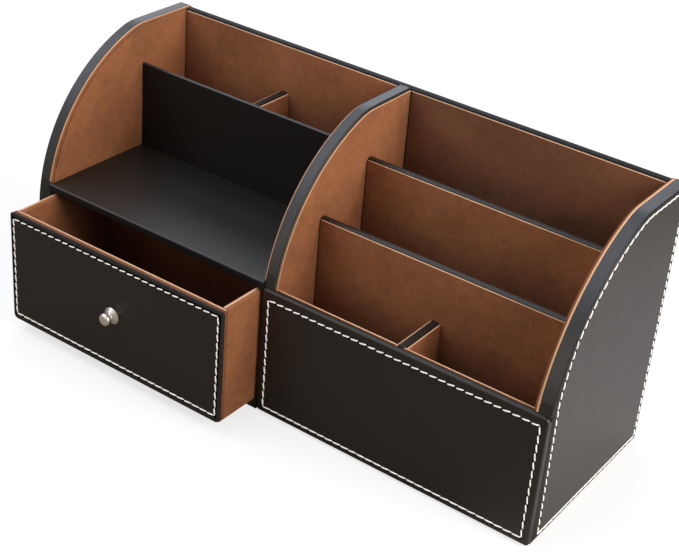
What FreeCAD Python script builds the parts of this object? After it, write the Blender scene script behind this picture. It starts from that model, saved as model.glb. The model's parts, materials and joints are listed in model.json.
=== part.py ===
import FreeCAD
import Part
import Sketcher
import math
import os
import re

# Desk organizer with one drawer: leather-wrapped boards with a curved front edge, lined inside.
# X runs to the right, Y to the back and Z up. The origin is on the desk, under the middle of the case.

sizes = {
    # the case, outside
    "case_width": 340,
    "case_depth": 120,
    "case_height": 160,
    "flat_top_depth": 45,
    "curve_foot_height": 62,
    "shoulder_round": 36,
    # its boards, each with its leather
    "side_thickness": 9,
    "partition_thickness": 7,
    "partition_share": 0.5,
    "back_thickness": 5,
    "base_thickness": 5.5,
    "felt_thickness": 1,
    "felt_margin": 4,
    "edge_round": 1.3,
    "curve_edge_round": 0.6,
    # the lining sheets, which stop short of the boards' edges
    "lining_thickness": 1,
    "lining_reveal": 1,
    # the stitched front of the right bay
    "front_panel_height": 79,
    "front_panel_thickness": 3,
    "front_corner_round": 2.2,
    "front_lining_rise": 0.6,
    "lining_notch_depth": 4,
    # the stepped boards of the right bay
    "pocket_depth": 32,
    "middle_slot_depth": 35,
    "divider_thickness": 4,
    "divider_round": 1.2,
    "front_divider_height": 110,
    "rear_divider_height": 131,
    "cross_thickness": 4.6,
    "right_cross_height": 79,
    "right_cross_share": 0.5,
    # the left bay above the drawer
    "shelf_height": 82.5,
    "shelf_thickness": 5,
    "left_slot_depth": 34.8,
    "left_divider_thickness": 2.2,
    "left_divider_round": 0.7,
    "left_divider_height": 136,
    "left_cross_height": 131,
    "left_cross_share": 0.5,
    # the drawer, and how far it stands open
    "drawer_pull": 31,
    "drawer_side_gap": 0.6,
    "drawer_top_gap": 1,
    "drawer_floor_gap": 0.3,
    "drawer_back_gap": 1.5,
    "facing_thickness": 1.8,
    "facing_overhang": 1.2,
    "drawer_wall_thickness": 4,
    "drawer_wall_round": 1.2,
    "drawer_bottom_thickness": 3,
    # the metal pull and its screw
    "rosette_diameter": 10.2,
    "rosette_top_diameter": 6,
    "rosette_height": 2,
    "neck_diameter": 4.2,
    "neck_length": 1,
    "head_diameter": 7.4,
    "head_flare_length": 1,
    "head_thickness": 2.6,
    "head_round": 1.6,
    "screw_diameter": 3,
    "screw_gap": 0.1,
    "screw_reach": 3,
    "screw_head_diameter": 6.4,
    "screw_head_thickness": 2,
    "screw_head_top_diameter": 4.4,
    # how far a cut runs past the piece it cuts
    "overrun": 2,
}

doc = FreeCAD.newDocument("desk_organizer")
sheet = doc.addObject("Spreadsheet::Sheet", "Sizes")
for row, (alias, value) in enumerate(sizes.items(), 1):
    sheet.set(f"A{row}", alias)
    sheet.set(f"B{row}", str(value))
    sheet.setAlias(f"B{row}", alias)
doc.recompute()


def bound(rule):
    # each word of a rule is a cell of the sheet, unless it is a function
    return re.sub(r"[a-z][a-z_]*\b(?!\()", lambda word: "Sizes." + word.group(), rule)


def number(rule):
    return float(sheet.evalExpression(bound(rule)))


# Places across the case, from left to right
case_left = "(-case_width/2)"
case_right = "(case_width/2)"
left_board_face = f"({case_left} + side_thickness)"
left_face = f"({left_board_face} + lining_thickness)"
partition_middle = f"({case_left} + case_width*partition_share)"
partition_left = f"({partition_middle} - partition_thickness/2)"
partition_right = f"({partition_middle} + partition_thickness/2)"
left_bay_end = f"({partition_left} - lining_thickness)"
right_bay_start = f"({partition_right} + lining_thickness)"
right_board_face = f"({case_right} - side_thickness)"
right_face = f"({right_board_face} - lining_thickness)"

# Places through the case, from front to back
case_front = "(-case_depth/2)"
case_back = "(case_depth/2)"
front_panel_back = f"({case_front} + front_panel_thickness)"
pocket_front = f"({front_panel_back} + lining_thickness)"
pocket_back = f"({pocket_front} + pocket_depth)"
front_divider_front = f"({pocket_back} + lining_thickness)"
front_divider_back = f"({front_divider_front} + divider_thickness)"
middle_slot_back = f"({front_divider_back} + middle_slot_depth)"
rear_divider_front = f"({middle_slot_back} + lining_thickness)"
rear_divider_back = f"({rear_divider_front} + divider_thickness)"
back_board_face = f"({case_back} - back_thickness)"
back_face = f"({back_board_face} - lining_thickness)"
left_slot_front = f"({back_face} - left_slot_depth)"
left_divider_back = f"({left_slot_front} - lining_thickness)"
left_divider_front = f"({left_divider_back} - left_divider_thickness)"

# Heights above the desk
base_top = "(felt_thickness + base_thickness)"
floor_top = f"({base_top} + lining_thickness)"
shelf_bottom = "(shelf_height - shelf_thickness)"

# The side boards' curve leaves the upright front edge smoothly, and a soft shoulder joins it to the top
curve_depth = "(case_depth - flat_top_depth)"
curve_rise = "(case_height - curve_foot_height)"
curve_radius = f"(({curve_depth}*{curve_depth} + {curve_rise}*{curve_rise})/(2*{curve_depth}))"

# The drawer where it stands open
facing_left = f"({left_board_face} + drawer_side_gap)"
facing_right = f"({partition_left} - drawer_side_gap)"
box_left = f"({facing_left} + facing_overhang)"
box_right = f"({facing_right} - facing_overhang)"
inside_left = f"({box_left} + drawer_wall_thickness)"
inside_right = f"({box_right} - drawer_wall_thickness)"
facing_front = f"({case_front} - drawer_pull)"
facing_back = f"({facing_front} + facing_thickness)"
inside_front = f"({facing_back} + drawer_wall_thickness)"
box_back = f"({left_divider_front} - drawer_back_gap - drawer_pull)"
inside_back = f"({box_back} - drawer_wall_thickness)"
drawer_low = f"({base_top} + drawer_floor_gap)"
drawer_high = f"({shelf_bottom} - drawer_top_gap)"
drawer_floor = f"({drawer_low} + drawer_bottom_thickness)"
knob_x = f"(({facing_left} + {facing_right})/2)"
knob_z = f"(({drawer_low} + {drawer_high})/2)"
knob_seat = f"({facing_front} - rosette_height)"

to_front = FreeCAD.Vector(0, -1, 0)
to_left = FreeCAD.Vector(-1, 0, 0)
to_right = FreeCAD.Vector(1, 0, 0)
upwards = FreeCAD.Vector(0, 0, 1)
outwards = FreeCAD.Rotation(to_right, upwards, to_front, "ZXY")


def new_body(label):
    body = doc.addObject("PartDesign::Body", label)
    body.Label = label
    return body


def block(body, kind, x, y, z):
    # a box between two places on each axis, added to the body or cut from it
    box = body.newObject("PartDesign::" + kind, body.Label + "_block")
    for size, axis, (low, high) in (("Length", "x", x), ("Width", "y", y), ("Height", "z", z)):
        box.setExpression(size, bound(f"{high} - {low}"))
        box.setExpression("Placement.Base." + axis, bound(low))
    return box


def round_edges(body, normal, radius, along=None):
    # rounds the rim of the flat face that lies furthest towards normal, or only its edges along a direction
    doc.recompute()
    before = body.Tip
    shape = before.Shape
    flat = [face for face in shape.Faces if isinstance(face.Surface, Part.Plane)]
    facing = [face for face in flat if face.normalAt(0, 0).dot(normal) > 0.99]
    rim = max(facing, key=lambda face: face.CenterOfMass.dot(normal)).Edges
    names = []
    for count, edge in enumerate(shape.Edges, 1):
        on_rim = any(edge.isSame(side) for side in rim)
        if on_rim and (along is None or abs(edge.tangentAt(edge.FirstParameter).dot(along)) > 0.99):
            names.append(f"Edge{count}")
    fillet = body.newObject("PartDesign::Fillet", body.Label + "_round")
    fillet.Base = (before, names)
    fillet.setExpression("Radius", bound(radius))
    return fillet


def board(label, x, y, z):
    body = new_body(label)
    block(body, "AdditiveBox", x, y, z)
    return body


def curved_board(label, x, back, bottom, inset):
    # a board cut to the side profile, whose curved edge lies inset from the case's own
    front = f"({case_front} + {inset})"
    top = f"(case_height - {inset})"
    radius = f"({curve_radius} - {inset})"
    soft_radius = f"(shoulder_round - {inset})"
    body = new_body(label)
    sketch = body.newObject("Sketcher::SketchObject", label + "_profile")
    plane = next(part for part in body.Origin.OriginFeatures if part.Role == "YZ_Plane")
    sketch.AttachmentSupport = [(plane, "")]
    sketch.MapMode = "FlatFace"
    sketch.setExpression("AttachmentOffset.Base.z", bound(x[0]))

    # first places of the corners, close to where the constraints hold them
    y_front, y_back = number(front), number(back)
    z_bottom, z_foot, z_top = number(bottom), number("curve_foot_height"), number(top)
    curve_bend, shoulder_bend = number(radius), number(soft_radius)
    curve_middle = FreeCAD.Vector(y_front + curve_bend, z_foot, 0)
    z_soft = z_top - shoulder_bend
    run = max(0, (curve_bend - shoulder_bend) ** 2 - (z_soft - z_foot) ** 2) ** 0.5
    shoulder_middle = FreeCAD.Vector(curve_middle.x - run, z_soft, 0)
    back_low = FreeCAD.Vector(y_back, z_bottom, 0)
    front_low = FreeCAD.Vector(y_front, z_bottom, 0)
    foot = FreeCAD.Vector(y_front, z_foot, 0)
    shoulder = FreeCAD.Vector(shoulder_middle.x, z_top, 0)
    back_high = FreeCAD.Vector(y_back, z_top, 0)
    meeting = to_right.getAngle(shoulder_middle - curve_middle)
    curve_circle = Part.Circle(curve_middle, upwards, curve_bend)
    shoulder_circle = Part.Circle(shoulder_middle, upwards, shoulder_bend)
    floor_line = sketch.addGeometry(Part.LineSegment(back_low, front_low))
    front_line = sketch.addGeometry(Part.LineSegment(front_low, foot))
    curve = sketch.addGeometry(Part.ArcOfCircle(curve_circle, meeting, math.pi))
    soft = sketch.addGeometry(Part.ArcOfCircle(shoulder_circle, math.pi / 2, meeting))
    top_line = sketch.addGeometry(Part.LineSegment(shoulder, back_high))
    back_line = sketch.addGeometry(Part.LineSegment(back_high, back_low))

    rules = [
        ("Coincident", floor_line, 2, front_line, 1),
        ("Tangent", front_line, 2, curve, 2),
        ("Tangent", curve, 1, soft, 2),
        ("Tangent", soft, 1, top_line, 1),
        ("Coincident", top_line, 2, back_line, 1),
        ("Coincident", back_line, 2, floor_line, 1),
        ("Horizontal", floor_line),
        ("Vertical", front_line),
        ("Horizontal", top_line),
        ("Vertical", back_line),
    ]
    for rule in rules:
        sketch.addConstraint(Sketcher.Constraint(*rule))
    origin = (-1, 1)
    spans = [
        ("DistanceX", (*origin, floor_line, 1), back),
        ("DistanceX", (floor_line, 2, floor_line, 1), f"{back} - {front}"),
        ("DistanceY", (*origin, floor_line, 1), bottom),
        ("DistanceY", (front_line, 1, front_line, 2), f"curve_foot_height - {bottom}"),
        ("DistanceY", (back_line, 2, back_line, 1), f"{top} - {bottom}"),
        ("Radius", (curve,), radius),
        ("Radius", (soft,), soft_radius),
    ]
    for kind, ends, rule in spans:
        place = sketch.addConstraint(Sketcher.Constraint(kind, *ends, number(rule)))
        sketch.setExpression(f"Constraints[{place}]", bound(rule))

    pad = body.newObject("PartDesign::Pad", label + "_pad")
    pad.Profile = sketch
    pad.setExpression("Length", bound(f"{x[1]} - {x[0]}"))
    return body


def turned(body, kind, start, length, radii):
    # a round piece about the knob's axis, from a place on Y towards the front
    piece = body.newObject("PartDesign::" + kind, body.Label + "_turned")
    piece.Placement = FreeCAD.Placement(FreeCAD.Vector(), outwards)
    names = ("Radius",) if len(radii) == 1 else ("Radius1", "Radius2")
    for name, radius in zip(names, radii):
        piece.setExpression(name, bound(radius))
    piece.setExpression("Height", bound(length))
    for axis, place in (("x", knob_x), ("y", start), ("z", knob_z)):
        piece.setExpression("Placement.Base." + axis, bound(place))
    return piece


# The case's boards

felt_x = (f"({case_left} + felt_margin)", f"({case_right} - felt_margin)")
felt_y = (f"({case_front} + felt_margin)", f"({case_back} - felt_margin)")
board("base_felt", felt_x, felt_y, ("0", "felt_thickness"))

# the front panel is let into the boards behind it
rebate_x = (f"({partition_left})", f"({case_right} + overrun)")
rebate_y = (f"({case_front} - overrun)", front_panel_back)
rebate_z = ("(felt_thickness - overrun)", "front_panel_height")

base = board("base_board", (left_board_face, right_board_face), (case_front, back_board_face),
             ("felt_thickness", base_top))
block(base, "SubtractiveBox", rebate_x, rebate_y, rebate_z)

left_side = curved_board("left_side_panel", (case_left, left_board_face), case_back, "felt_thickness", "0")
round_edges(left_side, to_left, "curve_edge_round")
round_edges(left_side, to_right, "curve_edge_round")

right_side = curved_board("right_side_panel", (right_board_face, case_right), case_back,
                          "felt_thickness", "0")
round_edges(right_side, to_right, "curve_edge_round")
round_edges(right_side, to_left, "curve_edge_round")
block(right_side, "SubtractiveBox", rebate_x, rebate_y, rebate_z)

partition = curved_board("middle_partition", (partition_left, partition_right), back_board_face,
                         base_top, "0")
round_edges(partition, to_left, "curve_edge_round")
round_edges(partition, to_right, "curve_edge_round")
block(partition, "SubtractiveBox", rebate_x, rebate_y, rebate_z)

back = board("back_panel", (left_board_face, right_board_face), (back_board_face, case_back),
             ("felt_thickness", "case_height"))
round_edges(back, upwards, "edge_round", to_right)

front = board("front_panel", (partition_left, case_right), (case_front, front_panel_back),
              ("felt_thickness", "front_panel_height"))
round_edges(front, to_left, "front_corner_round", to_front)
round_edges(front, to_right, "front_corner_round", to_front)
round_edges(front, to_front, "edge_round")

shelf = board("shelf_board", (left_board_face, partition_left), (case_front, left_divider_front),
              (shelf_bottom, "shelf_height"))
round_edges(shelf, to_front, "edge_round", to_right)

# The dividers, each a board with a rounded top

left_bay = (left_face, left_bay_end)
right_bay = (right_bay_start, right_face)
dividers = {
    "left_divider": (left_bay, (left_divider_front, left_divider_back), "left_divider_height",
                     "left_divider_round"),
    "right_front_divider": (right_bay, (front_divider_front, front_divider_back), "front_divider_height",
                            "divider_round"),
    "right_rear_divider": (right_bay, (rear_divider_front, rear_divider_back), "rear_divider_height",
                           "divider_round"),
}
for label, (x, y, height, softness) in dividers.items():
    round_edges(board(label, x, y, (base_top, height)), upwards, softness, to_right)

# Each divider has a lining on the side that faces its slot
divider_linings = {
    "left_divider_lining": (left_bay, (left_divider_back, left_slot_front), "left_divider_height"),
    "right_front_divider_lining": (right_bay, (pocket_back, front_divider_front), "front_divider_height"),
    "right_rear_divider_lining": (right_bay, (middle_slot_back, rear_divider_front), "rear_divider_height"),
}
for label, (x, y, height) in divider_linings.items():
    board(label, x, y, (base_top, f"({height} - lining_reveal)"))

# Short boards across the slots, lined on both sides, with a floor sheet each side of them
crossings = {
    "left": (left_bay, (left_slot_front, back_face), "left_cross_height", "left_cross_share"),
    "right": (right_bay, (pocket_front, pocket_back), "right_cross_height", "right_cross_share"),
}
for side, (bay, y, height, share) in crossings.items():
    middle = f"({bay[0]} + ({bay[1]} - {bay[0]})*{share})"
    cross_left = f"({middle} - cross_thickness/2)"
    cross_right = f"({middle} + cross_thickness/2)"
    lined_left = f"({cross_left} - lining_thickness)"
    lined_right = f"({cross_right} + lining_thickness)"
    cross = board(f"{side}_cross_divider", (cross_left, cross_right), y, (base_top, height))
    round_edges(cross, upwards, "divider_round", to_front)
    lined = (base_top, f"({height} - lining_reveal)")
    board(f"{side}_cross_left_lining", (lined_left, cross_left), y, lined)
    board(f"{side}_cross_right_lining", (cross_right, lined_right), y, lined)
    board(f"{side}_slot_left_floor", (bay[0], lined_left), y, (base_top, floor_top))
    board(f"{side}_slot_right_floor", (lined_right, bay[1]), y, (base_top, floor_top))

board("middle_slot_floor", right_bay, (front_divider_back, middle_slot_back), (base_top, floor_top))
board("rear_slot_floor", right_bay, (rear_divider_back, back_face), (base_top, floor_top))

# The linings of the case, cut to the boards behind them

curved_linings = {
    "left_side_lining": (left_board_face, left_face),
    "partition_left_lining": (left_bay_end, partition_left),
    "partition_right_lining": (partition_right, right_bay_start),
    "right_side_lining": (right_face, right_board_face),
}
# the left bay's sheets stop at the shelf and at the drawer's space under it
drawer_space_y = (f"({case_front} - overrun)", left_divider_front)
drawer_space_z = (f"({base_top} - overrun)", "shelf_height")
for label, x in curved_linings.items():
    lining = curved_board(label, x, back_board_face, base_top, "lining_reveal")
    across = (f"({x[0]} - overrun)", f"({x[1]} + overrun)")
    if label in ("left_side_lining", "partition_left_lining"):
        block(lining, "SubtractiveBox", across, drawer_space_y, drawer_space_z)
    else:
        block(lining, "SubtractiveBox", across, rebate_y, rebate_z)

lined_back = (base_top, "(case_height - lining_reveal)")
board("back_left_lining", left_bay, (back_face, back_board_face), lined_back)
board("back_right_lining", right_bay, (back_face, back_board_face), lined_back)
# the front's sheet stands above its board, and is notched at the short board behind it
front_sheet = board("front_lining", right_bay, (front_panel_back, pocket_front),
                    (base_top, "(front_panel_height + front_lining_rise)"))
block(front_sheet, "SubtractiveBox", (cross_left, cross_right),
      (f"({front_panel_back} - overrun)", f"({pocket_front} + overrun)"),
      ("(right_cross_height - lining_notch_depth)", "(front_panel_height + front_lining_rise + overrun)"))

# The drawer

facing = board("drawer_facing", (facing_left, facing_right), (facing_front, facing_back),
               (drawer_low, drawer_high))
round_edges(facing, to_left, "front_corner_round", to_front)
round_edges(facing, to_right, "front_corner_round", to_front)
round_edges(facing, to_front, "edge_round")

front_wall = board("drawer_front_wall", (box_left, box_right), (facing_back, inside_front),
                   (drawer_low, drawer_high))
left_wall = board("drawer_left_wall", (box_left, inside_left), (inside_front, box_back),
                  (drawer_low, drawer_high))
right_wall = board("drawer_right_wall", (inside_right, box_right), (inside_front, box_back),
                   (drawer_low, drawer_high))
back_wall = board("drawer_back_wall", (inside_left, inside_right), (inside_back, box_back),
                  (drawer_low, drawer_high))
round_edges(front_wall, upwards, "drawer_wall_round", to_right)
round_edges(left_wall, upwards, "drawer_wall_round", to_front)
round_edges(right_wall, upwards, "drawer_wall_round", to_front)
round_edges(back_wall, upwards, "drawer_wall_round", to_right)

inside_x = (inside_left, inside_right)
inside_y = (inside_front, inside_back)
board("drawer_bottom", inside_x, inside_y, (drawer_low, drawer_floor))
board("drawer_floor_lining", inside_x, inside_y, (drawer_floor, f"({drawer_floor} + lining_thickness)"))

# The metal pull, held by a screw from inside the drawer

screw_hole = "(screw_diameter/2 + screw_gap)"
hole_start = f"({inside_front} + overrun)"
hole_length = f"({hole_start} - {knob_seat} + overrun)"
turned(facing, "SubtractiveCylinder", hole_start, hole_length, (screw_hole,))
turned(front_wall, "SubtractiveCylinder", hole_start, hole_length, (screw_hole,))

rosette = new_body("knob_rosette")
turned(rosette, "AdditiveCone", facing_front, "rosette_height",
       ("(rosette_diameter/2)", "(rosette_top_diameter/2)"))
turned(rosette, "SubtractiveCylinder", hole_start, hole_length, (screw_hole,))

neck_end = f"({knob_seat} - neck_length)"
flare_end = f"({neck_end} - head_flare_length)"
knob = new_body("knob")
turned(knob, "AdditiveCylinder", knob_seat, "neck_length", ("(neck_diameter/2)",))
turned(knob, "AdditiveCone", neck_end, "head_flare_length", ("(neck_diameter/2)", "(head_diameter/2)"))
turned(knob, "AdditiveCylinder", flare_end, "head_thickness", ("(head_diameter/2)",))
round_edges(knob, to_front, "head_round")
turned(knob, "SubtractiveCylinder", f"({knob_seat} + overrun)", "(screw_reach + overrun)", (screw_hole,))

screw = new_body("knob_screw")
turned(screw, "AdditiveCone", f"({inside_front} + screw_head_thickness)", "screw_head_thickness",
       ("(screw_head_top_diameter/2)", "(screw_head_diameter/2)"))
turned(screw, "AdditiveCylinder", inside_front, f"({inside_front} - {knob_seat} + screw_reach)",
       ("(screw_diameter/2)",))

# Every piece is built and sound before any is written

doc.recompute()
pieces = [thing for thing in doc.Objects if thing.TypeId == "PartDesign::Body"]
for thing in doc.Objects:
    if "Invalid" in thing.State or "Error" in thing.State:
        raise RuntimeError(f"{thing.Label} failed: {thing.State}")
for piece in pieces:
    shape = piece.Shape
    if shape.isNull() or not shape.isValid() or len(shape.Solids) != 1:
        raise RuntimeError(f"{piece.Label} is not one sound solid")

os.makedirs("parts", exist_ok=True)
for piece in pieces:
    piece.Shape.exportStep(f"parts/{piece.Label}.step")
print(f"{len(pieces)} pieces, {sum(piece.Shape.Volume for piece in pieces):.0f} cubic mm in all")
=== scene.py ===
import json
import math
import random

import bpy
from mathutils import Matrix, Vector

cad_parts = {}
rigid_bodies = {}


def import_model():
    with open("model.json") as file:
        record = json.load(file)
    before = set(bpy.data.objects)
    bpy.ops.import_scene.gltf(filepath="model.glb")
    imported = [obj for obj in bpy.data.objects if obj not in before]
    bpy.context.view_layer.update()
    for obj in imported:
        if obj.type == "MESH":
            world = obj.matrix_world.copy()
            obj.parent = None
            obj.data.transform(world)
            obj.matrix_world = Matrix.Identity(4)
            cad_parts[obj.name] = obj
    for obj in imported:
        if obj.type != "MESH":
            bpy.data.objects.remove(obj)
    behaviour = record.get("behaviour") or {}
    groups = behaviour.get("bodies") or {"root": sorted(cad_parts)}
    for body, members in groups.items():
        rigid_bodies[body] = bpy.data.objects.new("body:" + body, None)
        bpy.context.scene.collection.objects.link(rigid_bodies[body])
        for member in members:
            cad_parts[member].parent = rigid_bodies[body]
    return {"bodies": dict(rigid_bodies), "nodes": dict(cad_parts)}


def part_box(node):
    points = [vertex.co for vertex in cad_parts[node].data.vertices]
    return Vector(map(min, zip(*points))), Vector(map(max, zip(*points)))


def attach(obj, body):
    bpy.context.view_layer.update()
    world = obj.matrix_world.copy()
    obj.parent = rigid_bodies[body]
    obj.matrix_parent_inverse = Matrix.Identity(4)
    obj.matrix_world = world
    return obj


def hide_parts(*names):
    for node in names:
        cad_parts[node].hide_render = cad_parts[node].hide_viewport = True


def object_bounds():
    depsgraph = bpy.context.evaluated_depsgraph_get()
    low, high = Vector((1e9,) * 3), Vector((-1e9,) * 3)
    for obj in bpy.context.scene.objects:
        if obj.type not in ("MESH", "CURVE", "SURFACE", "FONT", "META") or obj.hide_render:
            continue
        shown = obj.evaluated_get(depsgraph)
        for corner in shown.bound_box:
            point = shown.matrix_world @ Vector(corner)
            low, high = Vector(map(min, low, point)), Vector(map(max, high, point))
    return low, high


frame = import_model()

cadLow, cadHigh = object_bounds()
nodes = frame["nodes"]
mm = 0.001
hair = 0.01 * mm             # nearer than this counts as touching
square = 0.9999              # a face whose normal goes this far along a direction looks straight that way
dice = random.Random(12)     # for the small differences from stitch to stitch

# the things of Blender's startup file aren't wanted
known = set(nodes.values()) | set(frame["bodies"].values())
for thing in [thing for thing in bpy.data.objects if thing not in known]:
    bpy.data.objects.remove(thing)


# Working by hand: picking things, faces and edges

def pick(*things):
    if bpy.context.mode != "OBJECT":
        bpy.ops.object.mode_set(mode="OBJECT")
    bpy.ops.object.select_all(action="DESELECT")
    for thing in things:
        thing.select_set(True)
    bpy.context.view_layer.objects.active = things[0]


def named(name):
    piece = bpy.context.object
    piece.name = name
    piece.data.name = name
    return piece


def pickFaces(piece, wanted):
    pick(piece)
    bpy.ops.object.mode_set(mode="EDIT")
    bpy.ops.mesh.select_mode(type="FACE")
    bpy.ops.mesh.select_all(action="DESELECT")
    bpy.ops.object.mode_set(mode="OBJECT")
    for face in piece.data.polygons:
        face.select = wanted(face)
    bpy.ops.object.mode_set(mode="EDIT")


def pickEdges(piece, wanted):
    pick(piece)
    bpy.ops.object.mode_set(mode="EDIT")
    bpy.ops.mesh.select_mode(type="EDGE")
    bpy.ops.mesh.select_all(action="DESELECT")
    bpy.ops.object.mode_set(mode="OBJECT")
    points = piece.data.vertices
    for edge in piece.data.edges:
        edge.select = wanted(*(points[i].co for i in edge.vertices))
    bpy.ops.object.mode_set(mode="EDIT")


def applyModifier(piece, kind, **settings):
    pick(piece)
    modifier = piece.modifiers.new(kind.lower(), kind)
    for name, value in settings.items():
        setattr(modifier, name, value)
    bpy.ops.object.modifier_apply(modifier=modifier.name)


def smooth(piece, degrees=40):
    pick(piece)
    bpy.ops.object.shade_smooth_by_angle(angle=math.radians(degrees))


weld = {"distance": 0.004 * mm, "degrees": 0.4}


def mergedCopy(nodeName, name):
    # a CAD node's loose triangles as one skin with whole flat faces, to work on
    piece = bpy.data.objects.new(name, nodes[nodeName].data.copy())
    piece.data.name = name
    bpy.context.collection.objects.link(piece)
    pick(piece)
    bpy.ops.mesh.customdata_custom_splitnormals_clear()
    bpy.ops.object.mode_set(mode="EDIT")
    bpy.ops.mesh.select_all(action="SELECT")
    bpy.ops.mesh.remove_doubles(threshold=weld["distance"])
    bpy.ops.mesh.dissolve_limited(angle_limit=math.radians(weld["degrees"]))
    bpy.ops.object.mode_set(mode="OBJECT")
    return piece


# Materials

def linear(code):
    # sRGB hex to the linear values that the shaders take
    parts = [int(code[start:start + 2], 16) / 255 for start in (1, 3, 5)]
    bent = [part / 12.92 if part <= 0.04045 else ((part + 0.055) / 1.055) ** 2.4 for part in parts]
    return (*bent, 1)


def addNode(tree, kind, settings={}, links={}):
    node = tree.nodes.new("ShaderNode" + kind)
    for name, value in settings.items():
        if isinstance(name, int) or name in node.inputs:
            node.inputs[name].default_value = value
        else:
            setattr(node, name, value)
    for name, source in links.items():
        tree.links.new(source, node.inputs[name])
    return node


def startMaterial(name):
    material = bpy.data.materials.new(name)
    material.use_nodes = True
    tree = material.node_tree
    tree.nodes.clear()
    return material, tree, addNode(tree, "TexCoord")


def endMaterial(tree, shader):
    addNode(tree, "OutputMaterial", {}, {"Surface": shader.outputs[0]})


leather = {
    "dark": "#1b1815", "rubbed": "#22201c",
    "grainWidth": 0.9 * mm,      # the real pebbles are about 0.5 mm, drawn coarser so that they show
    "grainDepth": 0.03 * mm,
    "creaseWidth": 4 * mm,
    "cloudWidth": 60 * mm,
    "roughness": (0.41, 0.45),
    "specular": 0.5,
}


def leatherette(name, look):
    # polyurethane leatherette on cloth, embossed with a fine pebble grain: near black, satin, no mirror
    material, tree, where = startMaterial(name)
    place = where.outputs["Object"]
    clouds = addNode(tree, "TexNoise", {"Scale": 1 / look["cloudWidth"], "Detail": 3.0}, {"Vector": place})
    creases = addNode(tree, "TexNoise", {"Scale": 1 / look["creaseWidth"], "Detail": 4.0, "Distortion": 0.6},
                      {"Vector": place})
    pebbles = addNode(tree, "TexVoronoi", {"feature": "SMOOTH_F1", "Scale": 1 / look["grainWidth"],
                                           "Smoothness": 0.5}, {"Vector": place})
    tone = addNode(tree, "Mix", {"data_type": "RGBA", 6: linear(look["dark"]), 7: linear(look["rubbed"])},
                   {0: clouds.outputs["Fac"]})
    rough = addNode(tree, "MapRange", {"From Min": 0.3, "From Max": 0.7, "To Min": look["roughness"][0],
                                       "To Max": look["roughness"][1]}, {"Value": creases.outputs["Fac"]})
    height = addNode(tree, "Math", {"operation": "MULTIPLY_ADD", 1: 0.15},
                     {0: creases.outputs["Fac"], 2: pebbles.outputs["Distance"]})
    bump = addNode(tree, "Bump", {"Strength": 0.6, "Distance": look["grainDepth"], "invert": True},
                   {"Height": height.outputs[0]})
    skin = addNode(tree, "BsdfPrincipled", {"IOR": 1.5, "Specular IOR Level": look["specular"]},
                   {"Base Color": tone.outputs[2], "Roughness": rough.outputs[0], "Normal": bump.outputs[0]})
    endMaterial(tree, skin)
    return material


suede = {
    "light": "#925e3d", "dark": "#784b30",
    "napWidth": 0.7 * mm,        # the real nap is finer, drawn coarser so that it shows
    "napDepth": 0.10 * mm,
    "strokeWidth": 5 * mm,
    "cloudWidth": 38 * mm,
}


def suedeLining(name, look):
    # microfibre suede glued to the board: warm brown, dull, cloudy where the nap was brushed
    material, tree, where = startMaterial(name)
    place = where.outputs["Object"]
    clouds = addNode(tree, "TexNoise", {"Scale": 1 / look["cloudWidth"], "Detail": 2.0, "Roughness": 0.6},
                     {"Vector": place})
    strokes = addNode(tree, "TexNoise", {"Scale": 1 / look["strokeWidth"], "Detail": 5.0, "Roughness": 0.65,
                                         "Distortion": 0.8}, {"Vector": place})
    nap = addNode(tree, "TexNoise", {"Scale": 1 / look["napWidth"], "Detail": 3.0}, {"Vector": place})
    both = addNode(tree, "Math", {"operation": "ADD"}, {0: strokes.outputs["Fac"], 1: clouds.outputs["Fac"]})
    share = addNode(tree, "MapRange", {"From Min": 0.72, "From Max": 1.28}, {"Value": both.outputs[0]})
    tone = addNode(tree, "Mix", {"data_type": "RGBA", 6: linear(look["dark"]), 7: linear(look["light"])},
                   {0: share.outputs[0]})
    bump = addNode(tree, "Bump", {"Strength": 0.5, "Distance": look["napDepth"]},
                   {"Height": nap.outputs["Fac"]})
    skin = addNode(tree, "BsdfPrincipled",
                   {"IOR": 1.5, "Roughness": 0.82, "Specular IOR Level": 0.25, "Sheen Weight": 0.25,
                    "Sheen Roughness": 0.45, "Sheen Tint": linear("#e0b090")},
                   {"Base Color": tone.outputs[2], "Normal": bump.outputs[0]})
    endMaterial(tree, skin)
    return material


edge = {"light": "#e6bd9a", "dark": "#c2926d", "fibreWidth": 0.8 * mm, "fibreDepth": 0.08 * mm}


def rawEdge(name, look):
    # the cut or folded edge of the lining, where its pale backing shows; on the drawer walls' folds the same
    # pale colour is a painted highlight
    material, tree, where = startMaterial(name)
    fibres = addNode(tree, "TexNoise", {"Scale": 1 / look["fibreWidth"], "Detail": 3.0},
                     {"Vector": where.outputs["Object"]})
    tone = addNode(tree, "Mix", {"data_type": "RGBA", 6: linear(look["dark"]), 7: linear(look["light"])},
                   {0: fibres.outputs["Fac"]})
    bump = addNode(tree, "Bump", {"Strength": 0.4, "Distance": look["fibreDepth"]},
                   {"Height": fibres.outputs["Fac"]})
    skin = addNode(tree, "BsdfPrincipled", {"IOR": 1.5, "Roughness": 0.75, "Specular IOR Level": 0.3},
                   {"Base Color": tone.outputs[2], "Normal": bump.outputs[0]})
    endMaterial(tree, skin)
    return material


# glow: painted light, the thread gives off a little light of its own
thread = {"light": "#fffefb", "dark": "#e9e6df", "twist": 38, "plyDepth": 0.1 * mm, "glow": 0.25}


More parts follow.
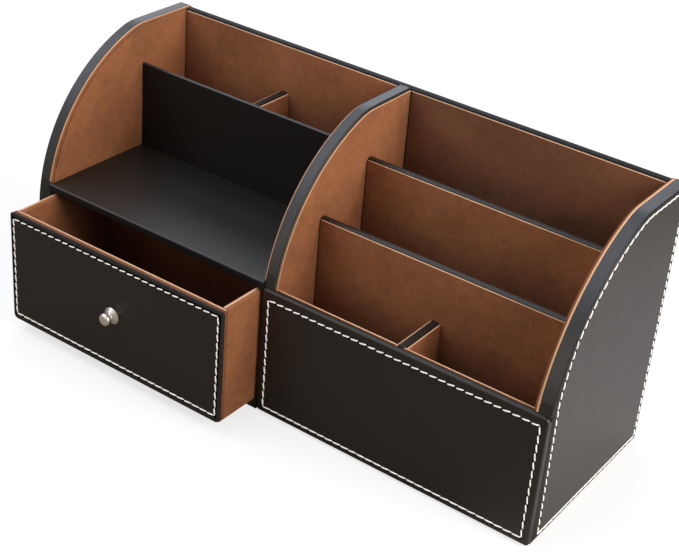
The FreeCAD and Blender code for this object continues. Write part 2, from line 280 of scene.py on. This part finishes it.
def waxedThread(name, look):
    # white waxed polyester thread: two plies twisted, with a slight gloss on each turn, and a painted glow
    # that keeps it white in shade
    material, tree, where = startMaterial(name)
    turned = addNode(tree, "Mapping", {"Rotation": (0, 0, math.radians(look["twist"])), "Scale": (2, 5, 1)},
                     {"Vector": where.outputs["UV"]})
    plies = addNode(tree, "TexWave", {"Scale": 1.2, "Distortion": 0.4}, {"Vector": turned.outputs[0]})
    tone = addNode(tree, "Mix", {"data_type": "RGBA", 6: linear(look["dark"]), 7: linear(look["light"])},
                   {0: plies.outputs["Fac"]})
    bump = addNode(tree, "Bump", {"Strength": 0.5, "Distance": look["plyDepth"]},
                   {"Height": plies.outputs["Fac"]})
    # the emission is a painted glow, not a lamp
    skin = addNode(tree, "BsdfPrincipled",
                   {"IOR": 1.53, "Roughness": 0.5, "Sheen Weight": 0.2, "Emission Color": (1, 1, 1, 1),
                    "Emission Strength": look["glow"]},
                   {"Base Color": tone.outputs[2], "Normal": bump.outputs[0]})
    endMaterial(tree, skin)
    return material


plating = {"tint": "#fdf8f0", "hazeWidth": 1.5 * mm, "roughness": (0.3, 0.42)}


def satinNickel(name, look):
    # nickel plate over turned brass, satin: warm grey with soft, wide highlights
    material, tree, where = startMaterial(name)
    haze = addNode(tree, "TexNoise", {"Scale": 1 / look["hazeWidth"], "Detail": 3.0},
                   {"Vector": where.outputs["Object"]})
    rough = addNode(tree, "MapRange", {"To Min": look["roughness"][0], "To Max": look["roughness"][1]},
                    {"Value": haze.outputs["Fac"]})
    skin = addNode(tree, "BsdfPrincipled", {"Base Color": linear(look["tint"]), "Metallic": 1.0},
                   {"Roughness": rough.outputs[0]})
    endMaterial(tree, skin)
    return material


screwSteel = {"tint": "#c9ccd1", "gritWidth": 0.5 * mm, "roughness": (0.28, 0.45)}


def zincSteel(name, look):
    # zinc-plated steel screw: pale, slightly blue, dull from the drum
    material, tree, where = startMaterial(name)
    grit = addNode(tree, "TexNoise", {"Scale": 1 / look["gritWidth"], "Detail": 2.0},
                   {"Vector": where.outputs["Object"]})
    rough = addNode(tree, "MapRange", {"To Min": look["roughness"][0], "To Max": look["roughness"][1]},
                    {"Value": grit.outputs["Fac"]})
    skin = addNode(tree, "BsdfPrincipled", {"Base Color": linear(look["tint"]), "Metallic": 1.0},
                   {"Roughness": rough.outputs[0]})
    endMaterial(tree, skin)
    return material


wool = {"light": "#343131", "dark": "#1b1a1a", "fibreWidth": 0.9 * mm, "fibreDepth": 0.3 * mm}


def woolFelt(name, look):
    # pressed felt under the base: dark, matted fibres, no gloss
    material, tree, where = startMaterial(name)
    fibres = addNode(tree, "TexNoise", {"Scale": 1 / look["fibreWidth"], "Detail": 6.0, "Roughness": 0.7,
                                        "Distortion": 1.5}, {"Vector": where.outputs["Object"]})
    tone = addNode(tree, "Mix", {"data_type": "RGBA", 6: linear(look["dark"]), 7: linear(look["light"])},
                   {0: fibres.outputs["Fac"]})
    bump = addNode(tree, "Bump", {"Strength": 0.8, "Distance": look["fibreDepth"]},
                   {"Height": fibres.outputs["Fac"]})
    skin = addNode(tree, "BsdfPrincipled",
                   {"Roughness": 0.95, "Specular IOR Level": 0.1, "Sheen Weight": 0.3},
                   {"Base Color": tone.outputs[2], "Normal": bump.outputs[0]})
    endMaterial(tree, skin)
    return material


blackLeather = leatherette("black leatherette", leather)
# a smoother copy of the leather, lighter and bluish: a painted sheen from the light above
smoothPaintedSheenLeather = leatherette("smooth leatherette strip, painted sheen",
                           dict(leather, dark="#282a2d", rubbed="#2f3134", roughness=(0.36, 0.40)))
# a darker and rougher copy of the leather: dull, with painted shade, for faces that lie in shade
dullPaintedShadeLeather = leatherette("dull black leatherette, painted shade",
                          dict(leather, dark="#0d0c0c", rubbed="#121111", roughness=(0.6, 0.65),
                               specular=0.25))
brownSuede = suedeLining("brown microfibre suede", suede)
# a darker copy of the suede: painted shade for sheets that lie in shade
paintedShadeSuede = suedeLining("brown microfibre suede, painted shade",
                           dict(suede, light="#784d35", dark="#623e2a"))
# a lighter copy of the suede: painted light for a sheet that faces the lamp
paintedLightSuede = suedeLining("brown microfibre suede, painted light",
                          dict(suede, light="#a56b46", dark="#875537"))
paleEdgeAndPaintedHighlight = rawEdge("raw lining edge and painted highlight", edge)
whiteThread = waxedThread("white waxed thread", thread)
nickel = satinNickel("satin nickel plate", plating)
zinc = zincSteel("zinc-plated steel", screwSteel)
felt = woolFelt("pressed wool felt", wool)
print("materials:", len(bpy.data.materials))


def dress(piece, *materials):
    piece.data.materials.clear()
    for material in materials:
        piece.data.materials.append(material)


def secondMaterial(piece, wanted):
    # the faces that are wanted take the piece's second material
    for face in piece.data.polygons:
        face.material_index = 1 if wanted(face) else 0


def isTop(face):
    return face.normal.z > 0.3


def isFront(face):
    return face.normal.y < -0.8


# Boards that keep the CAD shape

plainBoards = {
    "base_board": blackLeather, "middle_partition": blackLeather,
    "right_front_divider": blackLeather, "right_rear_divider": blackLeather,
    "left_cross_divider": blackLeather, "right_cross_divider": blackLeather,
    "base_felt": felt, "drawer_bottom": brownSuede,
    "knob_screw": zinc, "knob": nickel, "knob_rosette": nickel,
}
for nodeName, material in plainBoards.items():
    dress(nodes[nodeName], material)

# the shelf's front, the back's top and the left divider's face take the dull, darker copy of the leather,
# painted shade; the left divider's top takes the smoother, lighter strip leather, a painted sheen
paintedLightBoards = {
    "shelf_board": (blackLeather, dullPaintedShadeLeather, isFront),
    "back_panel": (blackLeather, dullPaintedShadeLeather, isTop),
    "left_divider": (dullPaintedShadeLeather, smoothPaintedSheenLeather, isTop),
}
for nodeName, (main, second, wanted) in paintedLightBoards.items():
    dress(nodes[nodeName], main, second)
    secondMaterial(nodes[nodeName], wanted)
print("boards that keep the CAD shape:", len(plainBoards) + len(paintedLightBoards))

# The drawer's walls are wrapped in the lining; a painted highlight makes it pale where it folds over one of
# their edges, and the front and back walls take the darker suede, painted shade

folds = {
    "drawer_front_wall": {"toward": Vector((0, 1, 0)), "pale": 1.8 * mm, "suede": paintedShadeSuede},
    "drawer_back_wall": {"toward": Vector((0, -1, 0)), "pale": 2.0 * mm, "suede": paintedShadeSuede},
    "drawer_left_wall": {"toward": Vector((-1, 0, 0)), "pale": 2.0 * mm, "suede": brownSuede},
    "drawer_right_wall": {"toward": Vector((-1, 0, 0)), "pale": 2.2 * mm, "suede": brownSuede},
}
leastRise = 0.1              # of a face's normal, so that the round of the edge is pale too
for nodeName, look in folds.items():
    low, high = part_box(nodeName)
    toward = look["toward"]
    border = (high if toward.x + toward.y > 0 else low) - toward * look["pale"]
    wall = mergedCopy(nodeName, nodeName + "_wrap")
    pickFaces(wall, lambda face: True)
    bpy.ops.mesh.bisect(plane_co=border, plane_no=toward)
    bpy.ops.object.mode_set(mode="OBJECT")
    dress(wall, look["suede"], paleEdgeAndPaintedHighlight)
    secondMaterial(wall, lambda face: (face.normal.z > leastRise
                                       and (Vector(face.center) - border).dot(toward) > 0))
    smooth(wall)
    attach(wall, "drawer")
    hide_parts(nodeName)
print("drawer walls:", len(folds))


# Linings: each sheet gets a soft cut edge

lining = {
    "edgeRound": 0.22 * mm, "edgeAngle": 40,
    # the back right sheet and the drawer's floor take the darker suede, painted shade, and the cross
    # divider's right sheet the lighter one, painted light
    "suedes": {"back_right_lining": paintedShadeSuede, "drawer_floor_lining": paintedShadeSuede,
               "right_cross_right_lining": paintedLightSuede},
    "folded": ("left_side_lining", "right_side_lining"),     # these go on over their board's edge, see below
    "short": ("back_left_lining", "back_right_lining",
              "right_front_divider_lining", "right_rear_divider_lining"),
    "gap": 0.7 * mm,             # left open at the left end of a short sheet
}
liningNames = [name for name in nodes if name.endswith("_lining") or name.endswith("_floor")]
for nodeName in liningNames:
    low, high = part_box(nodeName)
    thin = min(range(3), key=lambda axis: (high - low)[axis])
    sheet = mergedCopy(nodeName, nodeName + "_sheet")
    isShort = nodeName in lining["short"]
    leftEnd = low.x + lining["gap"] if isShort else low.x
    for point in sheet.data.vertices:
        point.co.x = max(point.co.x, leftEnd)
    applyModifier(sheet, "BEVEL", width=lining["edgeRound"], segments=2, limit_method="ANGLE",
                  angle_limit=math.radians(lining["edgeAngle"]))
    dress(sheet, lining["suedes"].get(nodeName, brownSuede), paleEdgeAndPaintedHighlight)
    # pale on the cut edges, but not in the gap of a short sheet
    secondMaterial(sheet, lambda face: (abs(face.normal[thin]) < 0.9 and nodeName not in lining["folded"]
                                        and not (isShort and face.normal.x < -0.3)))
    smooth(sheet, degrees=35)
    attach(sheet, "drawer" if nodeName.startswith("drawer") else "case")
    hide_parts(nodeName)
print("lining sheets:", len(liningNames))


# Stitched panels: a channel is pressed along the seam, and the thread lies in it

seam = {
    "lip": 0.4 * mm,             # flat leather kept each side of the channel
    "halfWidth": 1.0 * mm,
    "depth": 0.3 * mm,
}


def inChannel(face, outward):
    # the sloping faces of a channel, told by their lean
    return 0.9 < face.normal.dot(outward) < 0.98


def isInner(face, outward):
    return face.normal.dot(outward) < -0.2


def sewChannel(piece):
    # presses the channel into the selected face, and gives back the line along its bottom
    half, deep = seam["halfWidth"] / 2, seam["depth"] / 2
    bpy.ops.mesh.inset(thickness=seam["lip"], use_even_offset=True)
    bpy.ops.mesh.inset(thickness=half, depth=-deep, use_even_offset=True)
    bpy.ops.mesh.inset(thickness=half, depth=-deep, use_even_offset=True)
    bpy.ops.object.mode_set(mode="OBJECT")
    inner = next(face for face in piece.data.polygons if face.select)
    line = [piece.data.vertices[i].co.copy() for i in inner.vertices]
    bpy.ops.object.mode_set(mode="EDIT")
    bpy.ops.mesh.inset(thickness=half, depth=deep, use_even_offset=True)
    bpy.ops.mesh.inset(thickness=half, depth=deep, use_even_offset=True)
    bpy.ops.mesh.inset(thickness=seam["lip"], use_even_offset=True)
    bpy.ops.object.mode_set(mode="OBJECT")
    return line


stitch = {
    "pitch": 5.3 * mm,
    "length": 4.85 * mm,
    "width": 0.86 * mm,
    "height": 0.78 * mm,
    "swell": ((0.3, 0.7, 1.12), (0.7, 0.95, 1.55)),      # from and to, as shares of half its length, how much
    "slant": 9, "wobble": 2,     # degrees, each stitch turned against its row, some more and some less
    "meeting": {"stretch": 1.15, "slant": 4},      # in a bottom row, where the stitches meet
    "dip": 0.3 * mm,             # how far its ends go down to their holes
    "rise": 0.9,                 # how high it lies in the channel, as a share of the depth
    "corner": 35,                # degrees, where the seam turns more than this a new run begins
}


def oneStitch():
    # a thread's turn on the face of the leather: round in the middle, its ends drawn down into the holes
    bpy.ops.mesh.primitive_uv_sphere_add(segments=8, ring_count=6, radius=0.5, location=(0, 0, 0))
    piece = named("stitch")
    bpy.ops.object.mode_set(mode="EDIT")
    bpy.ops.mesh.select_all(action="SELECT")
    bpy.ops.transform.rotate(value=math.radians(90), orient_axis="Y", center_override=(0, 0, 0))
    bpy.ops.transform.resize(value=(stitch["length"], stitch["width"], stitch["height"]))
    bpy.ops.object.mode_set(mode="OBJECT")
    for point in piece.data.vertices:
        reach = abs(point.co.x) / (stitch["length"] / 2)
        for start, end, fuller in stitch["swell"]:
            if start < reach < end:
                point.co.y *= fuller
                point.co.z *= fuller
        point.co.z -= stitch["dip"] * reach**3
    smooth(piece, degrees=180)
    return piece


def sewRow(name, line, outward, pattern):
    # walks along the closed line and lays a stitch on every pitch, from corner to corner
    count = len(line)
    turns = []
    for i in range(count):
        before, here, after = line[i - 1], line[i], line[(i + 1) % count]
        if (here - before).angle(after - here) > math.radians(stitch["corner"]):
            turns.append(i)
    runs = []
    for start, end in zip(turns, turns[1:] + [turns[0] + count]):
        runs.append([line[i % count] for i in range(start, end + 1)])
    lowest = min(point.z for point in line)
    copies = []
    for run in runs:
        isBottom = max(point.z for point in run) < lowest + stitch["pitch"]
        stretch = stitch["meeting"]["stretch"] if isBottom else 1.0
        slant = stitch["meeting"]["slant"] if isBottom else stitch["slant"]
        lengths = [(b - a).length for a, b in zip(run, run[1:])]
        total = sum(lengths)
        if total < stitch["pitch"] / 2:
            continue
        many = round(total / stitch["pitch"])
        for k in range(many):
            goal = (k + 0.5) * total / many
            i = 0
            while i < len(lengths) - 1 and goal > lengths[i]:
                goal -= lengths[i]
                i += 1
            along = (run[i + 1] - run[i]).normalized()
            spot = run[i] + along * goal
            across = outward.cross(along)
            turn = Matrix((along, across, outward)).transposed().to_4x4()
            lean = math.radians(slant + dice.uniform(-stitch["wobble"], stitch["wobble"]))
            mesh = pattern.data.copy()
            mesh.transform(Matrix.Diagonal((stretch, 1, 1, 1)))
            spot += outward * seam["depth"] * stitch["rise"]
            mesh.transform(Matrix.Translation(spot) @ turn @ Matrix.Rotation(lean, 4, "Z"))
            copy = bpy.data.objects.new(name, mesh)
            bpy.context.collection.objects.link(copy)
            copies.append(copy)
    pick(*copies)
    bpy.ops.object.join()
    row = named(name)
    dress(row, whiteThread)
    print(name, len(copies), "stitches")
    return row


pattern = oneStitch()


def roundCorner(board, corner, inward, old, new, least):
    # gives one corner of a front another radius; the points nearer than least to the arc's middle stay
    for point in board.data.vertices:
        across = (point.co.x - corner.x) * inward[0]
        along = (point.co.z - corner.z) * inward[1]
        if across < old + hair and along < old + hair:
            aside, down = old - across, old - along
            reach = math.hypot(aside, down)
            if reach > least:
                share = (reach + new - old) / reach
                point.co.x = corner.x + (new - aside * share) * inward[0]
                point.co.z = corner.z + (new - down * share) * inward[1]


# the two stitched fronts; the margins run left, right, bottom, top, and the corners run left and right below,
# then left and right above

fronts = {
    "front_panel": {"body": "case", "corner": 2.2 * mm, "rim": 1.3 * mm,
                    "margins": (4.4 * mm, 4.2 * mm, 3.9 * mm, 5.6 * mm),
                    "corners": (2.2 * mm, 1.6 * mm, 1.6 * mm, 3.6 * mm)},
    "drawer_facing": {"body": "drawer", "corner": 2.4 * mm, "rim": 1.1 * mm,
                      "margins": (3.0 * mm, 3.0 * mm, 4.3 * mm, 2.8 * mm),
                      "corners": (3.2 * mm, 3.2 * mm, 1.3 * mm, 1.3 * mm)},
}
# for both: the face's corner arcs are drawn in, pinched to points and given a ledge, so that the seam has
# sharp corners; what lies within a share of the arc stays when the outer corners get their own radius
cover = {"drawnIn": 0.97, "pinch": 0.5 * mm, "ledge": 0.3 * mm, "stays": 0.9}
forward = Vector((0, -1, 0))
for nodeName, look in fronts.items():
    low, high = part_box(nodeName)
    middle, size = (low + high) / 2, high - low
    bpy.ops.object.select_all(action="DESELECT")
    bpy.ops.mesh.primitive_cube_add(size=1, location=middle)
    board = named(nodeName + "_cover")
    board.scale = size
    bpy.ops.object.transform_apply(location=True, rotation=True, scale=True)
    pickEdges(board, lambda a, b: abs(a.y - b.y) > size.y / 2)
    bpy.ops.mesh.bevel(offset=look["corner"], segments=6)
    pickEdges(board, lambda a, b: max(a.y, b.y) < low.y + hair)
    bpy.ops.mesh.bevel(offset=look["rim"], segments=5)
    pickFaces(board, lambda face: face.normal.dot(forward) > square)
    arc = look["corner"] - look["rim"]
    shrink = arc * cover["drawnIn"]
    bpy.ops.mesh.inset(thickness=shrink, use_even_offset=True)
    bpy.ops.mesh.remove_doubles(threshold=cover["pinch"])
    bpy.ops.mesh.inset(thickness=cover["ledge"], use_even_offset=True)
    left, right, under, over = (margin - seam["halfWidth"] - seam["lip"] for margin in look["margins"])
    taken = look["rim"] + shrink + cover["ledge"]
    bpy.ops.transform.resize(value=((size.x - left - right) / (size.x - 2 * taken), 1,
                                    (size.z - under - over) / (size.z - 2 * taken)),
                             center_override=middle)
    bpy.ops.transform.translate(value=((left - right) / 2, 0, (under - over) / 2))
    line = sewChannel(board)
    ends = ((low.x, low.z, 1, 1), (high.x, low.z, -1, 1), (low.x, high.z, 1, -1), (high.x, high.z, -1, -1))
    for (x, z, toRight, toTop), radius in zip(ends, look["corners"]):
        roundCorner(board, Vector((x, 0, z)), (toRight, toTop), look["corner"], radius, arc * cover["stays"])
    # the seam's channel, and the top of the drawer's facing, take the dull, darker copy of the leather:
    # painted shade
    dress(board, blackLeather, dullPaintedShadeLeather)
    secondMaterial(board, lambda face: (inChannel(face, forward)
                                        or look["body"] == "drawer" and isTop(face)))
    smooth(board)
    applyModifier(board, "WEIGHTED_NORMAL", keep_sharp=True)
    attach(board, look["body"])
    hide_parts(nodeName)
    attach(sewRow(nodeName + "_stitching", line, forward, pattern), look["body"])

# the outer faces of the side boards; below the curve the seam keeps further away from the front

sideSeam = {
    "inset": 1.7 * mm, "drift": 5.2 * mm, "driftTop": 115 * mm,
    # the margin before this takes the dull, darker copy of the leather, painted shade
    "dullPaintedShadeBefore": -20 * mm,      # how far back the dull margin goes
}
sideBoards = {"left_side_panel": Vector((-1, 0, 0)), "right_side_panel": Vector((1, 0, 0))}
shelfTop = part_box("shelf_board")[1]
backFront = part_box("back_panel")[0]
for nodeName, outward in sideBoards.items():
    board = mergedCopy(nodeName, nodeName + "_cover")
    dress(board, blackLeather, dullPaintedShadeLeather, brownSuede)
    pickFaces(board, lambda face: face.normal.dot(outward) > square)
    bpy.ops.mesh.inset(thickness=sideSeam["inset"] - seam["halfWidth"] - seam["lip"], use_even_offset=True)
    bpy.ops.object.mode_set(mode="OBJECT")
    for point in (point for point in board.data.vertices if point.select and point.co.y < 0):
        share = max(0.0, 1 - point.co.z / sideSeam["driftTop"])
        point.co.y += sideSeam["drift"] * (1 - (1 - share) ** 3)
    # the margin in front of the seam is dull and darker: painted shade
    secondMaterial(board, lambda face: (face.normal.dot(outward) > square and not face.select
                                        and face.center.y < sideSeam["dullPaintedShadeBefore"]
                                        and face.center.z < sideSeam["driftTop"]))
    bpy.ops.object.mode_set(mode="EDIT")
    line = sewChannel(board)
    # above the shelf and in front of the back panel, the inner face goes with the lining that covers it
    for place, across in ((shelfTop, (0, 0, 1)), (backFront, (0, 1, 0))):
        pickFaces(board, lambda face: isInner(face, outward))
        bpy.ops.mesh.bisect(plane_co=place, plane_no=across)
    bpy.ops.object.mode_set(mode="OBJECT")
    # the seam's channel takes the dull, darker copy too: painted shade in the groove
    secondMaterial(board, lambda face: face.material_index == 1 or inChannel(face, outward))
    for face in board.data.polygons:
        if isInner(face, outward) and face.center.z > shelfTop.z and face.center.y < backFront.y:
            face.material_index = 2
    smooth(board)
    applyModifier(board, "WEIGHTED_NORMAL", keep_sharp=True)
    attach(board, "case")
    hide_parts(nodeName)
    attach(sewRow(nodeName + "_stitching", line, outward, pattern), "case")
bpy.data.objects.remove(pattern)

# Bands glued along the curved edges: strips of thinner leather down to the lap above the fronts, on the left
# board a foot that carries on the line of the shelf, and the linings of the side boards folded over their
# edges

strip = {"thickness": 0.3 * mm, "round": 0.12 * mm, "fold": 2.0 * mm, "gap": 0.35 * mm, "pale": 1.3 * mm}
aboveShelf = shelfTop.z + 0.5 * mm
underShelf = shelfTop.z - 0.1 * mm
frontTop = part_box("front_panel")[1].z
middleLap = frontTop + 8 * mm
rightLap = frontTop + 6 * mm
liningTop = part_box("front_lining")[1].z
aboveAll = cadHigh.z + 1 * mm
bands = {
    "left_side_panel_strip": {"node": "left_side_panel", "inward": 1, "from": aboveShelf, "to": aboveAll},
    "left_side_lining_fold": {"node": "left_side_panel", "inward": 1, "from": aboveShelf, "to": aboveAll},
    "left_side_panel_foot": {"node": "left_side_panel", "inward": 0, "from": 0.0, "to": underShelf},
    "middle_partition_strip": {"node": "middle_partition", "inward": 0, "from": middleLap, "to": aboveAll},
    "right_side_panel_strip": {"node": "right_side_panel", "inward": -1, "from": rightLap, "to": aboveAll},
    "right_side_lining_fold": {"node": "right_side_panel", "inward": -1, "from": liningTop, "to": aboveAll},
}
for name, look in bands.items():
    low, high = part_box(look["node"])
    inward = Vector((look["inward"], 0, 0))
    isFold = name.endswith("fold")
    band = mergedCopy(look["node"], name)
    # only the faces along the curve stay, and for a fold also the round of the board's inner edge
    if isFold:
        pickFaces(band, lambda face: (not -0.03 < face.normal.dot(inward) < 0.9
                                      or face.normal.z - face.normal.y < 0.3))
    else:
        pickFaces(band, lambda face: abs(face.normal.x) > 0.03 or face.normal.z - face.normal.y < 0.5)
    bpy.ops.mesh.delete(type="FACE")
    bpy.ops.mesh.select_all(action="SELECT")
    bpy.ops.mesh.bisect(plane_co=(0, 0, look["from"]), plane_no=(0, 0, 1), clear_inner=True)
    bpy.ops.mesh.select_all(action="SELECT")
    bpy.ops.mesh.bisect(plane_co=(0, 0, look["to"]), plane_no=(0, 0, 1), clear_outer=True)
    if look["inward"]:
        border = (high if look["inward"] > 0 else low) - inward * strip["fold"]
        bpy.ops.mesh.select_all(action="SELECT")
        if isFold:
            bpy.ops.mesh.bisect(plane_co=border + inward * strip["gap"], plane_no=inward, clear_inner=True)
            bpy.ops.mesh.select_all(action="SELECT")
            bpy.ops.mesh.bisect(plane_co=border + inward * strip["pale"], plane_no=inward)
        else:
            bpy.ops.mesh.bisect(plane_co=border, plane_no=inward, clear_outer=True)
    bpy.ops.object.mode_set(mode="OBJECT")
    applyModifier(band, "SOLIDIFY", thickness=strip["thickness"], offset=1)
    applyModifier(band, "BEVEL", width=strip["round"], segments=2, limit_method="ANGLE",
                  angle_limit=math.radians(50))
    if isFold:
        dress(band, brownSuede, paleEdgeAndPaintedHighlight)
        secondMaterial(band, lambda face: (Vector(face.center) - border).dot(inward) < strip["pale"])
    else:
        # the strips take the smoother leather, lighter and bluish: a painted sheen
        dress(band, blackLeather if name.endswith("foot") else smoothPaintedSheenLeather)
    smooth(band)
    applyModifier(band, "WEIGHTED_NORMAL", keep_sharp=True)
    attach(band, "case")
print("stitched boards and strips done")


# Stage, light and camera

floor = {
    "size": 8.0, "drop": 0.2 * mm, "shadow": 0.3, "turn": -50,
    "white": (0.72, 1.0), "distance": (0.5, 2.0),      # as the camera sees it, near and far
    "paintedLightTones": ((0.02, "#80786b"), (0.09, "#e2e2e4"), (0.14, "#f4f4f5"), (0.25, "#d6d6d8"), (0.36, "#d0cfd0"),
              (0.44, "#949290")),
}
bpy.ops.mesh.primitive_plane_add(size=floor["size"], location=(0, 0, -floor["drop"]))
ground = named("floor")
# the leather mirrors this floor, whose colour has light and shade painted on: dim in front, palest beside the
# right board, dimmer again far away
material, tree, where = startMaterial("pale paper floor")
turned = addNode(tree, "Mapping", {"Rotation": (0, 0, math.radians(floor["turn"]))},
                 {"Vector": where.outputs["Object"]})
apart = addNode(tree, "SeparateXYZ", {}, {"Vector": turned.outputs[0]})
tone = addNode(tree, "ValToRGB", {}, {"Fac": apart.outputs["X"]})
stops = tone.color_ramp.elements
stops.remove(stops[1])
stops[0].position, stops[0].color = floor["paintedLightTones"][0][0], linear(floor["paintedLightTones"][0][1])
for place, code in floor["paintedLightTones"][1:]:
    stops.new(place).color = linear(code)
plain = addNode(tree, "BsdfDiffuse", {}, {"Color": tone.outputs[0]})
shade = addNode(tree, "BsdfDiffuse", {"Color": (floor["shadow"],) * 3 + (1,)})
reach = addNode(tree, "VectorMath", {"operation": "LENGTH"}, {0: where.outputs["Object"]})
paler = addNode(tree, "MapRange", {"From Min": floor["distance"][0], "From Max": floor["distance"][1],
                                   "To Min": floor["white"][0], "To Max": floor["white"][1]},
                {"Value": reach.outputs["Value"]})
glow = addNode(tree, "Emission", {"Color": (1, 1, 1, 1)}, {"Strength": paler.outputs[0]})
bright = addNode(tree, "AddShader", {}, {0: shade.outputs[0], 1: glow.outputs[0]})
path = addNode(tree, "LightPath")
both = addNode(tree, "MixShader", {}, {0: path.outputs["Is Camera Ray"], 1: plain.outputs[0],
                                       2: bright.outputs[0]})
endMaterial(tree, both)
dress(ground, material)

sky = {"tint": "#f6f8ff", "strength": 0.18}
world = bpy.data.worlds.new("studio")
bpy.context.scene.world = world
world.use_nodes = True
tree = world.node_tree
tree.nodes.clear()
soft = addNode(tree, "Background", {"Color": linear(sky["tint"]), "Strength": sky["strength"]})
white = addNode(tree, "Background", {"Color": (1, 1, 1, 1), "Strength": 1.0})
path = addNode(tree, "LightPath")
mixed = addNode(tree, "MixShader", {}, {0: path.outputs["Is Camera Ray"], 1: soft.outputs[0],
                                        2: white.outputs[0]})
addNode(tree, "OutputWorld", {}, {"Surface": mixed.outputs[0]})

lamps = {
    "window at the right": {"place": (1.3, 0.0, 0.68), "size": (0.9, 0.9), "power": 27, "tint": "#fff6ec"},
    "sheet overhead": {"place": (-0.8, -0.25, 1.5), "size": (1.9, 1.9), "power": 24, "tint": "#eef3ff"},
    "wall behind at the left": {"place": (-0.85, 1.3, 0.95), "size": (1.2, 1.2), "power": 9.5,
                                "tint": "#eef3ff"},
    "wall in front": {"place": (-0.45, -1.55, 0.52), "size": (1.5, 0.95), "power": 6.0, "tint": "#ffe8cf"},
}
lampAim = Vector((0, 0, 0.08))
for name, look in lamps.items():
    bpy.ops.object.light_add(type="AREA", location=look["place"])
    lamp = bpy.context.object
    lamp.name = name
    lamp.data.shape = "RECTANGLE"
    lamp.data.size, lamp.data.size_y = look["size"]
    lamp.data.energy = look["power"]
    lamp.data.color = linear(look["tint"])[:3]
    lamp.rotation_euler = (lampAim - lamp.location).to_track_quat("-Z", "Y").to_euler()

# the photograph's view: from the front right, above, with the picture turned a little
shot = {
    "aim": Vector((10.95, 17.5, 75.54)) * mm,
    "azimuth": 32.619, "elevation": 29.641, "roll": 5.587,
    "distance": 823.2 * mm, "lens": 77.9, "shift": (-0.0439, -0.0438),
}
azimuth, elevation, roll = (math.radians(shot[name]) for name in ("azimuth", "elevation", "roll"))
back = Vector((math.sin(azimuth) * math.cos(elevation), -math.cos(azimuth) * math.cos(elevation),
               math.sin(elevation)))
level = Vector((math.cos(azimuth), math.sin(azimuth), 0))
rise = back.cross(level)
right = level * math.cos(roll) + rise * math.sin(roll)
up = rise * math.cos(roll) - level * math.sin(roll)
bpy.ops.object.camera_add()
camera = bpy.context.object
camera.data.lens = shot["lens"]
camera.data.shift_x, camera.data.shift_y = shot["shift"]
camera.matrix_world = (Matrix.Translation(shot["aim"] + back * shot["distance"])
                       @ Matrix((right, up, back)).transposed().to_4x4())
bpy.context.scene.camera = camera
bpy.context.scene.view_settings.view_transform = "Standard"
print("stage, lamps and camera set")
